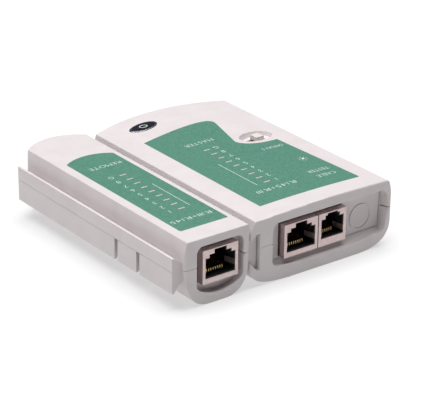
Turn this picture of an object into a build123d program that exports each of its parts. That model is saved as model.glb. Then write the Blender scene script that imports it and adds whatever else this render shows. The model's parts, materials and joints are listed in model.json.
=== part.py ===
from build123d import *
from math import sqrt
import os

# Network cable tester: a master unit and a remote unit that dock side by side.
# Millimetres, +Z up. The origin is at the middle of the docked pair's footprint, on the
# surface it stands on. The ports face -Y, the master is on the +X side.

os.makedirs("parts", exist_ok=True)

# ---- driving dimensions -------------------------------------------------------------
total_depth = 111.3            # port faces to the back of the remote's rounded end
front_y = -total_depth / 2
top_z = 26.8                   # top edge of both cases
parting_z = 15.6               # joint between upper and lower shells
wall = 2.0
fit_gap = 0.3                  # between pieces that slide past each other
seam = 0.15                    # shadow line where two shells meet

master_x = 17.0                # middle of the master
master_half_width = 34.15      # at the parting line, its widest
master_top_half_width = 32.2
master_depth = 109.4
master_rear_radius = 90.0
crown_rise = 0.8               # the master's top is gently domed across its width
crown_radius = (master_top_half_width ** 2 + crown_rise ** 2) / (2 * crown_rise)
side_swell_z = 20.8            # the sides above the parting line bulge most at this height
master_swell, remote_swell = 0.32, 0.22    # how far in from the widest they still are there

remote_half_width = 14.8
remote_x = master_x - master_half_width - 0.2 - remote_half_width
remote_top_half_width = 13.75
remote_rear_radius = 19.5

rail_reach = 4.2               # how far the dovetail rail stands out of the remote's side
rail_lip = 0.8
rail_low, rail_high = 7.1, 21.1
neck_low, neck_high = 11.1, 18.5
rail_front, rail_rear = 2.0, 104.8
tongue_slits, tongue_slit_width = [(0, 23.2), (0, 37.2)], 2.0

recess_top_z = 23.4
recess_corner = 2.8
recess_flare = 1.3             # the master's recess is this much wider at the front
mouth_chamfer = 0.3            # round the front edges of recesses and rail groove
plate_setback = 3.6            # port faces to the end plate
plate_thickness = 1.5
sill_front_z, sill_rear_z = 4.3, 7.1   # the master's recess floor climbs towards the plate
sill_gap = 0.2                 # sill to plate
recess_seam, recess_seam_depth = 0.4, 0.7
jack_gap = 0.15                # jacks to the edge of the hole in the plate
left_jack_gap = 0.6            # wider at the eight-pin jack's free side
plate_line = [(30.35, 9.0), (30.95, 21.6)]    # shadow groove down the plate's free end
plate_line_width, plate_line_depth = 0.4, 0.9
knock_out = (21.2, 13.5)
ring_outer, ring_inner, ring_height = 5.15, 4.75, 0.25
collar_length = 9.4
collar_wall = 1.4
plate_grip = 0.6               # how far the plate reaches into its slot

board_z = 21.2                 # underside of both circuit boards
board_thickness = 1.6
board_front = 9.6
board_shoulder, board_rear = 17.6, 68.0    # the master's board widens behind the case screws
remote_board_width, remote_board_length = 21.0, 78.4
board_top_z = board_z + board_thickness

jack_setback = 0.5
jack_height = 13.4
jack_length = 18.0
sheet = 0.3                    # metal of the jack shields
contact_pitch = 1.02
eight_pin_width = 16.0
six_pin_width = 13.4
eight_pin_x = master_x - 10.1
six_pin_x = master_x + 5.0
remote_jack_x = remote_x + 1.5

lamp_count = 9
lamp_pitch = 4.73
lamp_length, lamp_width = 2.9, 0.85
lamp_flange_length, lamp_flange_width, lamp_flange_height = 4.6, 2.2, 1.9
master_lamp_x = master_x - 7.15
master_lamp_y = front_y + 25.1
remote_lamp_x = remote_x + 2.3
remote_lamp_y = front_y + 25.5

label_recess = 0.35
label_thickness = 0.3

dish_x, dish_y = master_x + 17.55, front_y + 63.5
dish_floor_z = 25.65
dish_rim_z = top_z + 0.6
knob_x, knob_y = master_x + 18.25, dish_y
knob_side = 4.0
knob_base_z = dish_floor_z + 0.25
knob_top_z = 27.7
knob_travel = 3.6              # off, on and slow, one step apart
switch_x = knob_x - knob_travel / 2
stem_length, stem_width = 3.0, 1.5
slider_z = 21.3                # foot of the stem, inside the switch
switch_slot_length, switch_slot_width = 8.6, 2.5
switch_slot_x = switch_x + 0.8

badge_x, badge_y = master_x - 13.55, front_y + 97.2
badge_length, badge_width = 14.3, 7.0
badge_recess = 0.5
badge_slope = 0.194            # the badge rises to the right by about 11 degrees

battery_length, battery_width, battery_height = 46.4, 26.5, 17.5
battery_z = 3.7
battery_left = master_x - 23.5
battery_right = battery_left + battery_length
battery_y = front_y + 89.45
terminal_spacing = 12.7
terminal_height = 2.1
terminal_z = battery_z + battery_height / 2
snap_length, snap_width, snap_thickness = 24.0, 11.5, 1.6
lead_diameter = 1.3

door_half_width = 25.0
door_front = 75.6
door_thickness = 2.2
door_edge = 3.2
door_tongue = 1.2
door_gap = 0.15

column_radius = 3.2
remote_column_radius = 2.7
master_screw_head, remote_screw_head = 2.5, 1.9
screw_seat_z = 5.0
screw_end_z = 22.0
screw_radius = 1.2
board_screw_radius, board_screw_head = 1.0, 2.1
board_boss_radius = 2.5
board_screw_end_z = 25.2
master_columns = [(-23.1, 13.6), (26.3, 13.6), (-19.1, 71.4), (14.9, 71.4)]
remote_columns = [(0.0, 21.6), (0.0, 97.0)]
master_board_screws = [(-22.6, 29.0), (24.3, 29.0), (-22.6, 58.5), (6.4, 63.5)]
remote_board_screws = [(-7.5, 34.0), (-7.5, 80.0)]


on_base = (Align.CENTER, Align.CENTER, Align.MIN)


def front_plane(unit_x, setback=0.0):
    """Upright plane facing the ports, x across from the unit's middle and y up."""
    return Plane(origin=(unit_x, front_y + setback, 0), x_dir=(1, 0, 0), z_dir=(0, -1, 0))


def from_above(unit_x, z=0.0):
    """Level plane, x across from the unit's middle and y back from the port face."""
    return Plane(origin=(unit_x, front_y, z))


def at(unit_x, places):
    """Places given from a unit's middle and port face, as points on Plane.XY."""
    return [(unit_x + x, front_y + y) for x, y in places]


def crown_z(x):
    """Height of the master's domed top at x from its middle."""
    return top_z + crown_rise - x ** 2 / (2 * crown_radius)


# ---- case outlines ------------------------------------------------------------------
def master_section(inset=0.0):
    """The master seen from its ports: domed top, fuller on its free right side."""
    half_top = master_top_half_width - inset
    half = master_half_width - inset
    roof = top_z - inset
    flat = 16.0
    left_turn_z = 9.0
    with BuildSketch(front_plane(master_x)) as section:
        with BuildLine():
            ThreePointArc((-half_top, roof), (0, roof + crown_rise), (half_top, roof))
            ThreePointArc((half_top, roof), (half - master_swell, side_swell_z), (half, parting_z))
            Bezier((half, parting_z), (half - 0.45, 5.2 + 0.8 * inset),
                   (half - 2.05, inset), (flat, inset))
            Line((flat, inset), (-flat, inset))
            Bezier((-flat, inset), (4.1 - half, 0.6 + inset),
                   (-half, 2.2 + inset), (-half, left_turn_z))
            Line((-half, left_turn_z), (-half, parting_z))
            ThreePointArc((-half, parting_z), (master_swell - half, side_swell_z), (-half_top, roof))
        make_face()
    return section.sketch


def remote_section(inset=0.0):
    """The remote seen from its ports: flat top, round belly."""
    half_top = remote_top_half_width - inset
    half = remote_half_width - inset
    roof = top_z - inset
    flat = 3.5
    with BuildSketch(front_plane(remote_x)) as section:
        with BuildLine():
            ThreePointArc((-half, parting_z), (remote_swell - half, side_swell_z), (-half_top, roof))
            Line((-half_top, roof), (half_top, roof))
            ThreePointArc((half_top, roof), (half - remote_swell, side_swell_z), (half, parting_z))
            Bezier((half, parting_z), (half - 0.8, 6.0 + 0.8 * inset),
                   (half - 3.3, inset), (flat, inset))
            Line((flat, inset), (-flat, inset))
            Bezier((-flat, inset), (3.3 - half, inset),
                   (0.8 - half, 6.0 + 0.8 * inset), (-half, parting_z))
        make_face()
    return section.sketch


def plan_outline(unit_x, half_width, depth, rear_radius, inset, front_corner, rear_corner):
    """A case seen from above: straight sides, square front, a long arc at the back."""
    half = half_width - inset
    radius = rear_radius - inset
    peak = depth - inset
    side_end = peak - radius + sqrt(radius ** 2 - half ** 2)
    with BuildSketch(from_above(unit_x)) as outline:
        with BuildLine():
            Polyline((-half, side_end), (-half, inset), (half, inset), (half, side_end))
            ThreePointArc((half, side_end), (0, peak), (-half, side_end))
        make_face()
        corners = outline.vertices().sort_by(Axis.Y)
        fillet(corners[:2], front_corner)
        fillet(corners[2:], rear_corner)
    return outline.sketch


def master_plan(inset=0.0):
    return plan_outline(master_x, master_half_width, master_depth, master_rear_radius, inset, 1.2, 2.0)


def remote_plan(inset=0.0):
    return plan_outline(remote_x, remote_half_width, total_depth, remote_rear_radius, inset, 1.6, 1.5)


def master_recess(grow=0.0, setback=0.0, flare=0.0):
    """Outline of the master's port recess: sagging lower edge, right side flared at its middle."""
    left, right, top_right = -23.7, 30.6, 31.3
    corner_z = 6.1
    with BuildSketch(front_plane(master_x, setback)) as outline:
        with BuildLine():
            Polyline((left, corner_z), (left, recess_top_z), (top_right, recess_top_z),
                     (top_right + flare, parting_z), (right, corner_z))
            ThreePointArc((right, corner_z), ((left + right) / 2, 4.4), (left, corner_z))
        make_face()
        fillet(outline.vertices(), recess_corner)
        if grow:
            offset(amount=grow)
    return outline.sketch


def remote_recess(grow=0.0, setback=0.0):
    """Outline of the remote's port recess."""
    left, right = -9.2, 11.8
    corner_z = 6.8
    with BuildSketch(front_plane(remote_x, setback)) as outline:
        with BuildLine():
            Polyline((left, corner_z), (left, recess_top_z), (right, recess_top_z), (right, corner_z))
            ThreePointArc((right, corner_z), ((left + right) / 2, 3.2), (left, corner_z))
        make_face()
        fillet(outline.vertices(), recess_corner)
        if grow:
            offset(amount=grow)
    return outline.sketch


def rail_section(side, root=1.5, grow=0.0, setback=0.0):
    """Dovetail rail across its length; side is +1 for the remote's right, -1 for its left."""
    wall_x = side * remote_half_width
    lip_x = wall_x + side * (rail_reach - rail_lip)
    face_x = wall_x + side * rail_reach
    root_x = wall_x - side * root
    with BuildSketch(front_plane(remote_x, setback)) as section:
        with BuildLine():
            Polyline((root_x, neck_low), (wall_x, neck_low), (lip_x, rail_low), (face_x, rail_low),
                     (face_x, rail_high), (lip_x, rail_high), (wall_x, neck_high), (root_x, neck_high),
                     close=True)
        make_face()
        if grow:
            offset(amount=grow, kind=Kind.INTERSECTION)
    return section.sketch


def master_label_outline():
    """Printed label, cut back around the switch dish and rounded along its rear edge."""
    with BuildSketch(from_above(master_x, top_z - 4)) as outline:
        with BuildLine():
            Polyline((-22.8, 83.6), (-23.0, 9.2), (25.15, 8.9), (22.85, 56.5))
            Bezier((22.85, 56.5), (14.2, 56.0), (7.6, 58.6), (7.1, 63.6))
            Line((7.1, 63.6), (12.7, 83.5))
            Bezier((12.7, 83.5), (13.8, 88.6), (10.0, 90.8), (-22.8, 83.6))
        make_face()
        fillet(outline.vertices().group_by(Axis.Y)[0], 0.8)
    return outline.sketch


def remote_label_outline(z):
    """Printed label of the remote, arched at the back like the case."""
    with BuildSketch(from_above(remote_x, z)) as outline:
        with BuildLine():
            Polyline((-10.1, 83.5), (-10.1, 9.3), (11.6, 9.3), (11.6, 83.5))
            ThreePointArc((11.6, 83.5), (0.75, 87.2), (-10.1, 83.5))
        make_face()
        fillet(outline.vertices(), 0.8)
    return outline.sketch


def under_crown(depth, thickness):
    """Band that follows the master's domed top, starting depth below it."""
    half = master_top_half_width
    upper = top_z - depth
    lower = upper - thickness
    with BuildSketch(front_plane(master_x)) as band:
        with BuildLine():
            ThreePointArc((-half, upper), (0, upper + crown_rise), (half, upper))
            Line((half, upper), (half, lower))
            ThreePointArc((half, lower), (0, lower + crown_rise), (-half, lower))
            Line((-half, lower), (-half, upper))
        make_face()
    return band.sketch


def door_section(grow=0.0):
    """Battery door across its slide: a plate whose thicker edges carry a tongue each."""
    edge = door_half_width
    tip = door_half_width + door_tongue
    rib = door_half_width - 1.8
    with BuildSketch(front_plane(master_x, door_front - grow)) as section:
        with BuildLine():
            Polyline((-edge, -1), (edge, -1), (edge, door_thickness), (tip, door_thickness),
                     (tip, door_edge), (rib, door_edge), (rib, door_thickness), (-rib, door_thickness),
                     (-rib, door_edge), (-tip, door_edge), (-tip, door_thickness),
                     (-edge, door_thickness), close=True)
        make_face()
        if grow:
            offset(amount=grow, kind=Kind.INTERSECTION)
    return section.sketch


def lamp_row(x, y):
    """Centres of a unit's row of indicator lamps."""
    return [(x, y + index * lamp_pitch) for index in range(lamp_count)]


# ---- solid cases and what is hollowed out of them -----------------------------------
with BuildPart() as master_block:
    extrude(master_section(), amount=-master_depth)
    extrude(master_plan(), amount=40, mode=Mode.INTERSECT)
    fillet(master_block.faces().sort_by(Axis.Z)[-1].edges(), 0.5)

with BuildPart() as remote_block:
    extrude(remote_section(), amount=-total_depth)
    extrude(remote_plan(), amount=40, mode=Mode.INTERSECT)
    fillet(remote_block.faces().sort_by(Axis.Z)[-1].edges(), 0.5)

with BuildPart() as master_hollow:
    extrude(master_section(wall), amount=-master_depth)
    extrude(master_plan(wall), amount=40, mode=Mode.INTERSECT)
    extrude(master_recess(collar_wall, flare=recess_flare), amount=-collar_length, mode=Mode.SUBTRACT)
    extrude(rail_section(1, grow=fit_gap + 1.7), amount=-master_depth, mode=Mode.SUBTRACT)
    with Locations(*at(master_x, master_columns)):
        Cylinder(column_radius, 40, align=on_base, mode=Mode.SUBTRACT)
    with BuildSketch(Plane.XY.offset(board_top_z)):
        with Locations(*at(master_x, master_board_screws)):
            Circle(board_boss_radius)
    extrude(amount=10, mode=Mode.SUBTRACT)
    with BuildSketch(Plane.XY.offset(24.6)):
        with Locations((dish_x, dish_y)):
            Ellipse(8.8, 6.0)
    extrude(amount=10, mode=Mode.SUBTRACT)
    # battery bay: a front wall the leads pass beside, and two ribs that hold the battery down
    with BuildSketch(from_above(master_x)):
        with Locations((-2.25, 74.4)):
            Rectangle(48.5, 1.5)
    extrude(amount=parting_z, mode=Mode.SUBTRACT)
    with BuildSketch(Plane.XY.offset(battery_z + battery_height + 0.2)):
        with Locations((master_x - 12, battery_y), (master_x + 12, battery_y)):
            Rectangle(1.4, 24)
    extrude(amount=10, mode=Mode.SUBTRACT)
    # rails that carry the battery door's tongues
    with BuildSketch(front_plane(master_x, door_front)):
        for side in (-1, 1):
            with Locations((side * (door_half_width + 1.4), 2.2)):
                Rectangle(3.0, 4.6)
    extrude(amount=-(master_depth - door_front), mode=Mode.SUBTRACT)

with BuildPart() as remote_hollow:
    extrude(remote_section(wall), amount=-total_depth)
    extrude(remote_plan(wall), amount=40, mode=Mode.INTERSECT)
    extrude(remote_recess(collar_wall), amount=-collar_length, mode=Mode.SUBTRACT)
    with Locations(*at(remote_x, remote_columns)):
        Cylinder(remote_column_radius, 40, align=on_base, mode=Mode.SUBTRACT)
    with BuildSketch(Plane.XY.offset(board_top_z)):
        with Locations(*at(remote_x, remote_board_screws)):
            Circle(board_boss_radius)
    extrude(amount=10, mode=Mode.SUBTRACT)

# shadow line round each joint: the outer skin, one seam high and one seam deep
with BuildPart() as master_seam:
    extrude(master_section(-1), amount=-(master_depth + 5))
    with BuildSketch(Plane.XY.offset(parting_z - seam / 2)):
        Rectangle(200, 200)
    extrude(amount=seam, mode=Mode.INTERSECT)
    extrude(master_plan(seam), amount=40, mode=Mode.SUBTRACT)

with BuildPart() as remote_seam:
    extrude(remote_section(-1), amount=-(total_depth + 5))
    with BuildSketch(Plane.XY.offset(parting_z - seam / 2)):
        Rectangle(200, 200)
    extrude(amount=seam, mode=Mode.INTERSECT)
    extrude(remote_plan(seam), amount=40, mode=Mode.SUBTRACT)

# what the recesses cut from the cases, from the port face back to the end plate
with BuildPart() as master_recess_space:
    loft([master_recess(mouth_chamfer, 0, recess_flare), master_recess(0, mouth_chamfer, recess_flare),
          master_recess(0, plate_setback)], ruled=True)
    # leave a floor that climbs towards the plate
    sill_back = front_y + plate_setback - sill_gap
    with BuildSketch(Plane.YZ.offset(master_x)):
        with BuildLine():
            Polyline((front_y, 0), (front_y, sill_front_z), (sill_back, sill_rear_z), (sill_back, 0),
                     close=True)
        make_face()
    extrude(amount=master_half_width, both=True, mode=Mode.SUBTRACT)

with BuildPart() as remote_recess_space:
    loft([remote_recess(mouth_chamfer), remote_recess(0, mouth_chamfer), remote_recess(0, plate_setback)],
         ruled=True)

# the joint shows as a wider line on the recess walls
with BuildPart() as master_recess_joint:
    extrude(master_recess(recess_seam_depth, 0, recess_flare), amount=-plate_setback)
    with BuildSketch(Plane.XY.offset(parting_z - recess_seam / 2)):
        Rectangle(200, 200)
    extrude(amount=recess_seam, mode=Mode.INTERSECT)

with BuildPart() as remote_recess_joint:
    extrude(remote_recess(recess_seam_depth), amount=-plate_setback)
    with BuildSketch(Plane.XY.offset(parting_z - recess_seam / 2)):
        Rectangle(200, 200)
    extrude(amount=recess_seam, mode=Mode.INTERSECT)


# ---- cuts shared by the two cases' shells; each is called inside a shell's block -----
def cut_ports(recess, recess_space, recess_joint):
    """Port recess with its joint line, the end plate's slot, and the way through behind it."""
    add(recess_space, mode=Mode.SUBTRACT)
    add(recess_joint, mode=Mode.SUBTRACT)
    extrude(recess(plate_grip, plate_setback), amount=-plate_thickness, mode=Mode.SUBTRACT)
    behind_plate = plate_setback + plate_thickness
    extrude(recess(-0.4, behind_plate), amount=behind_plate - collar_length - 1, mode=Mode.SUBTRACT)


def round_holes(places, radius, low_z, high_z):
    """Upright holes from one height to another."""
    with BuildSketch(Plane.XY.offset(low_z)) as holes:
        with Locations(*places):
            Circle(radius)
    extrude(holes.sketch, amount=high_z - low_z, mode=Mode.SUBTRACT)


def lamp_slots(places, gap):
    """Windows over a row of lamps."""
    with BuildSketch(Plane.XY.offset(board_top_z)) as slots:
        with Locations(*places):
            Rectangle(lamp_length + 2 * gap, lamp_width + 2 * gap)
    extrude(slots.sketch, amount=10, mode=Mode.SUBTRACT)


def drill_top(columns, board_bosses):
    """Pilot holes for the case screws and the circuit board's screws."""
    round_holes(columns, screw_radius, parting_z, screw_end_z + 0.4)
    round_holes(board_bosses, board_screw_radius, board_top_z, board_screw_end_z + 0.2)


def drill_bottom(columns, head_radius):
    """Clearance holes for the case screws, with their heads sunk into the belly."""
    round_holes(columns, screw_radius + 0.2, 0, 20)
    round_holes(columns, head_radius + 0.2, 0, screw_seat_z)


# ---- master case --------------------------------------------------------------------
with BuildPart() as master_label_space:
    extrude(under_crown(-2, 2 + label_recess), amount=-master_depth)
    extrude(master_label_outline(), amount=10, mode=Mode.INTERSECT)

with BuildPart() as groove:
    extrude(rail_section(1, root=6, grow=fit_gap), amount=-master_depth)
    loft([rail_section(1, root=6, grow=fit_gap + mouth_chamfer),
          rail_section(1, root=6, grow=fit_gap, setback=mouth_chamfer)])

# bowl round the slide switch: steep oval sides down to a level floor
with BuildPart() as switch_dish:
    with BuildSketch(Plane.XY.offset(dish_floor_z)):
        with Locations((dish_x, dish_y)):
            Ellipse(6.4, 3.7)
    with BuildSketch(Plane.XY.offset(dish_rim_z)):
        with Locations((dish_x, dish_y)):
            Ellipse(7.6, 4.85)
    loft()
    extrude(switch_dish.faces().sort_by(Axis.Z)[-1], amount=3)

badge_plane = Plane(
    origin=(badge_x, badge_y, crown_z(badge_x - master_x)),
    x_dir=(1, badge_slope, 0),
    z_dir=((badge_x - master_x) / crown_radius, 0, 1),
)

with BuildPart() as master_top_shell:
    add(master_block.part)
    add(master_hollow.part, mode=Mode.SUBTRACT)
    add(master_seam.part, mode=Mode.SUBTRACT)
    split(bisect_by=Plane.XY.offset(parting_z), keep=Keep.TOP)
    cut_ports(master_recess, master_recess_space.part, master_recess_joint.part)
    add(groove.part, mode=Mode.SUBTRACT)
    add(master_label_space.part, mode=Mode.SUBTRACT)
    add(switch_dish.part, mode=Mode.SUBTRACT)
    lamp_slots(lamp_row(master_lamp_x, master_lamp_y), 0.15)
    with BuildSketch(Plane.XY.offset(board_top_z)):
        with Locations((switch_slot_x, knob_y)):
            Rectangle(switch_slot_length, switch_slot_width)
    extrude(amount=10, mode=Mode.SUBTRACT)
    with BuildSketch(badge_plane):
        Ellipse(badge_length / 2 + 0.1, badge_width / 2 + 0.1)
    extrude(amount=badge_recess, both=True, mode=Mode.SUBTRACT)
    drill_top(at(master_x, master_columns), at(master_x, master_board_screws))

with BuildPart() as master_bottom_shell:
    add(master_block.part)
    add(master_hollow.part, mode=Mode.SUBTRACT)
    add(master_seam.part, mode=Mode.SUBTRACT)
    split(bisect_by=Plane.XY.offset(parting_z), keep=Keep.BOTTOM)
    cut_ports(master_recess, master_recess_space.part, master_recess_joint.part)
    add(groove.part, mode=Mode.SUBTRACT)
    drill_bottom(at(master_x, master_columns), master_screw_head)
    extrude(door_section(door_gap), amount=-40, mode=Mode.SUBTRACT)

with BuildPart() as battery_door:
    add(master_block.part)
    extrude(door_section(), amount=-40, mode=Mode.INTERSECT)
    # finger grooves
    with BuildSketch(from_above(master_x)):
        with Locations((0, 98.0)):
            with GridLocations(1, 2.4, 1, 6):
                SlotOverall(16, 1.2)
    extrude(amount=0.6, mode=Mode.SUBTRACT)

with BuildPart() as master_end_plate:
    extrude(master_recess(plate_grip - 0.05, plate_setback), amount=-plate_thickness)
    with BuildSketch(front_plane(master_x, plate_setback)):
        left = eight_pin_x - eight_pin_width / 2 - left_jack_gap - master_x
        right = six_pin_x + six_pin_width / 2 + jack_gap - master_x
        with Locations(((left + right) / 2, board_z - jack_height / 2)):
            Rectangle(right - left, jack_height + 2 * jack_gap)
    extrude(amount=-plate_thickness, mode=Mode.SUBTRACT)
    # shadow line down the free end
    with BuildSketch(front_plane(master_x, plate_setback)):
        with BuildLine():
            Line(*plate_line)
        trace(line_width=plate_line_width)
    extrude(amount=-plate_line_depth, mode=Mode.SUBTRACT)
    # moulded ring round the blank knock-out
    with BuildSketch(front_plane(master_x, plate_setback)):
        with Locations(knock_out):
            Circle(ring_outer)
            Circle(ring_inner, mode=Mode.SUBTRACT)
    extrude(amount=ring_height)

with BuildPart() as master_label:
    extrude(under_crown(label_recess - label_thickness, label_thickness), amount=-master_depth)
    extrude(master_label_outline(), amount=10, mode=Mode.INTERSECT)
    lamp_slots(lamp_row(master_lamp_x, master_lamp_y), 0.1)

with BuildPart() as oval_badge:
    with BuildSketch(badge_plane.offset(-badge_recess)):
        Ellipse(badge_length / 2, badge_width / 2)
    extrude(amount=badge_recess + 0.25)
    fillet(oval_badge.faces().sort_by(Axis.Z)[-1].edges(), 0.3)


# ---- remote case --------------------------------------------------------------------
with BuildPart() as rails:
    for side in (-1, 1):
        extrude(rail_section(side, setback=rail_front), amount=-(rail_rear - rail_front))
    # two slits free a springy tongue in the lower half of each rail
    with BuildSketch(Plane.XY):
        for side in (-1, 1):
            with Locations(*at(remote_x + side * (remote_half_width + rail_reach), tongue_slits)):
                Rectangle(2 * rail_reach - 0.6, tongue_slit_width)
    extrude(amount=parting_z, mode=Mode.SUBTRACT)
    # the joint between the shells, along the rails' outer faces
    with BuildSketch(Plane.XY.offset(parting_z - seam / 2)):
        for side in (-1, 1):
            with Locations((remote_x + side * (remote_half_width + rail_reach), 0)):
                Rectangle(2 * seam, total_depth)
    extrude(amount=seam, mode=Mode.SUBTRACT)

with BuildPart() as remote_top_shell:
    add(remote_block.part)
    add(remote_hollow.part, mode=Mode.SUBTRACT)
    add(remote_seam.part, mode=Mode.SUBTRACT)
    add(rails.part)
    split(bisect_by=Plane.XY.offset(parting_z), keep=Keep.TOP)
    cut_ports(remote_recess, remote_recess_space.part, remote_recess_joint.part)
    extrude(remote_label_outline(top_z - label_recess), amount=2, mode=Mode.SUBTRACT)
    lamp_slots(lamp_row(remote_lamp_x, remote_lamp_y), 0.15)
    drill_top(at(remote_x, remote_columns), at(remote_x, remote_board_screws))

with BuildPart() as remote_bottom_shell:
    add(remote_block.part)
    add(remote_hollow.part, mode=Mode.SUBTRACT)
    add(remote_seam.part, mode=Mode.SUBTRACT)
    add(rails.part)
    split(bisect_by=Plane.XY.offset(parting_z), keep=Keep.BOTTOM)
    cut_ports(remote_recess, remote_recess_space.part, remote_recess_joint.part)
    drill_bottom(at(remote_x, remote_columns), remote_screw_head)

with BuildPart() as remote_end_plate:
    extrude(remote_recess(plate_grip - 0.05, plate_setback), amount=-plate_thickness)
    with BuildSketch(front_plane(remote_jack_x, plate_setback)):
        with Locations((0, board_z - jack_height / 2)):
            Rectangle(eight_pin_width + 2 * jack_gap, jack_height + 2 * jack_gap)
    extrude(amount=-plate_thickness, mode=Mode.SUBTRACT)

with BuildPart() as remote_label:
    extrude(remote_label_outline(top_z - label_recess), amount=label_thickness)
    lamp_slots(lamp_row(remote_lamp_x, remote_lamp_y), 0.1)


# ---- jacks --------------------------------------------------------------------------
# each plug opening, from the jack's middle: half width and top of the body, of the step
# and of the latch notch above it, and the height of its floor
eight_pin_opening = {"floor": 9.8, "body": (6.75, 17.9), "step": (5.0, 19.2), "notch": (2.75, 20.8)}
six_pin_opening = {"floor": 10.8, "body": (5.4, 18.7), "step": (3.5, 20.1), "notch": (2.45, 20.8)}
finger_low, finger_high = 11.9, 14.1
finger_length = 5.0
cavity_length = 12.5
contact_thickness = 0.36
contact_tip_y = 3.9            # the contacts' front bend, from the shield's face
contact_tip_rise = 1.1
contact_rise_z = 14.6          # where the contacts pass through the back of the housing
contact_pin_y = 15.2
contact_pin_top_z = 23.6


def plug_outline(x, opening, setback, shrink=0.0):
    """Stepped opening of a jack, with the latch notch at the top."""
    body_half, body_top = opening["body"]
    step_half, step_top = opening["step"]
    notch_half, notch_top = opening["notch"]
    with BuildSketch(front_plane(x, setback)) as outline:
        with BuildLine():
            right = [(body_half, opening["floor"]), (body_half, body_top), (step_half, body_top),
                     (step_half, step_top), (notch_half, step_top), (notch_half, notch_top)]
            left = [(-across, up) for across, up in reversed(right)]
            Polyline(*right, *left, close=True)
        make_face()
        if shrink:
            offset(amount=-shrink, kind=Kind.INTERSECTION)
    return outline.sketch


def jack_box(x, width, setback, inset=0.0):
    """Upright rectangle of a jack's body."""
    with BuildSketch(front_plane(x, setback)) as outline:
        with Locations((0, board_z - jack_height / 2)):
            Rectangle(width - 2 * inset, jack_height - 2 * inset)
    return outline.sketch


def jack_shield(x, width, opening, contact_count):
    """Folded metal can with the plug opening in its face and a spring finger each side."""
    fingers_out = opening["body"][0] + 0.15
    pin_width = contact_count * contact_pitch + 0.4
    with BuildPart() as shield:
        extrude(jack_box(x, width, jack_setback), amount=-jack_length)
        inside = jack_box(x, width, jack_setback + sheet, sheet)
        extrude(inside, amount=-(jack_length - 2 * sheet), mode=Mode.SUBTRACT)
        extrude(plug_outline(x, opening, jack_setback), amount=-sheet, mode=Mode.SUBTRACT)
        with BuildSketch(from_above(x, board_z - sheet)):
            with Locations((0, jack_setback + contact_pin_y)):
                Rectangle(pin_width, 1.2)
        extrude(amount=sheet, mode=Mode.SUBTRACT)
        with BuildSketch(from_above(x, finger_low)):
            for side in (-1, 1):
                with BuildLine():
                    Polyline((side * fingers_out, jack_setback),
                             (side * (fingers_out - 1.1), jack_setback + finger_length),
                             (side * (fingers_out - 1.35), jack_setback + finger_length),
                             (side * (fingers_out - 0.25), jack_setback), close=True)
                make_face()
        extrude(amount=finger_high - finger_low)
    return shield.part


def jack_housing(x, width, opening, contact_count):
    """Black insert that fills the shield, with the plug cavity and the contacts' way out."""
    half = opening["body"][0]
    channel = contact_count * contact_pitch + 0.2
    with BuildPart() as housing:
        extrude(jack_box(x, width, jack_setback + sheet, sheet), amount=-(jack_length - 2 * sheet))
        cavity = plug_outline(x, opening, jack_setback + sheet, 0.3)
        extrude(cavity, amount=-cavity_length, mode=Mode.SUBTRACT)
        with BuildSketch(from_above(x, finger_low - 0.3)):
            for side in (-1, 1):
                with Locations((side * (half - 0.6), jack_setback + finger_length / 2)):
                    Rectangle(1.7, finger_length + 0.6)
        extrude(amount=finger_high - finger_low + 0.6, mode=Mode.SUBTRACT)
        with BuildSketch(from_above(x, contact_rise_z - 0.3)):
            with Locations((0, jack_setback + 14.0)):
                Rectangle(channel, 3.2)
        extrude(amount=0.6, mode=Mode.SUBTRACT)
        with BuildSketch(from_above(x, contact_rise_z)):
            with Locations((0, jack_setback + contact_pin_y)):
                Rectangle(channel, 0.8)
        extrude(amount=10, mode=Mode.SUBTRACT)
    return housing.part


def jack_contacts(x, opening, contact_count):
    """Gold spring wires: up from the cavity floor, back through the housing, up to the board."""
    floor = opening["floor"] + 0.3 + contact_thickness / 2
    first = x - (contact_count - 1) * contact_pitch / 2 - contact_thickness / 2
    shield_y = front_y + jack_setback
    with BuildPart() as contacts:
        for index in range(contact_count):
            with BuildSketch(Plane.YZ.offset(first + index * contact_pitch)):
                with BuildLine():
                    Polyline((shield_y + contact_tip_y - 0.2, floor + 0.02),
                             (shield_y + contact_tip_y, floor + contact_tip_rise),
                             (shield_y + cavity_length - 0.3, contact_rise_z),
                             (shield_y + contact_pin_y, contact_rise_z),
                             (shield_y + contact_pin_y, contact_pin_top_z))
                trace(line_width=contact_thickness)
            extrude(amount=contact_thickness)
    return contacts.part


with BuildPart() as eight_pin_jack_shield:
    add(jack_shield(eight_pin_x, eight_pin_width, eight_pin_opening, 8))
with BuildPart() as eight_pin_jack_housing:
    add(jack_housing(eight_pin_x, eight_pin_width, eight_pin_opening, 8))
with BuildPart() as eight_pin_jack_contacts:
    add(jack_contacts(eight_pin_x, eight_pin_opening, 8))
with BuildPart() as six_pin_jack_shield:
    add(jack_shield(six_pin_x, six_pin_width, six_pin_opening, 6))
with BuildPart() as six_pin_jack_housing:
    add(jack_housing(six_pin_x, six_pin_width, six_pin_opening, 6))
with BuildPart() as six_pin_jack_contacts:
    add(jack_contacts(six_pin_x, six_pin_opening, 6))
with BuildPart() as remote_jack_shield:
    add(jack_shield(remote_jack_x, eight_pin_width, eight_pin_opening, 8))
with BuildPart() as remote_jack_housing:
    add(jack_housing(remote_jack_x, eight_pin_width, eight_pin_opening, 8))
with BuildPart() as remote_jack_contacts:
    add(jack_contacts(remote_jack_x, eight_pin_opening, 8))


# ---- circuit boards and what is soldered to them ------------------------------------
def pin_row(x, contact_count):
    """Where a jack's pins come through the board."""
    first = x - (contact_count - 1) * contact_pitch / 2
    pin_y = front_y + jack_setback + contact_pin_y
    return [(first + index * contact_pitch, pin_y) for index in range(contact_count)]


def two_legs(places, spread):
    """Both legs of parts that lie along X, each spread from the part's middle."""
    return [(x + side * spread, y) for x, y in places for side in (-1, 1)]


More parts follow.
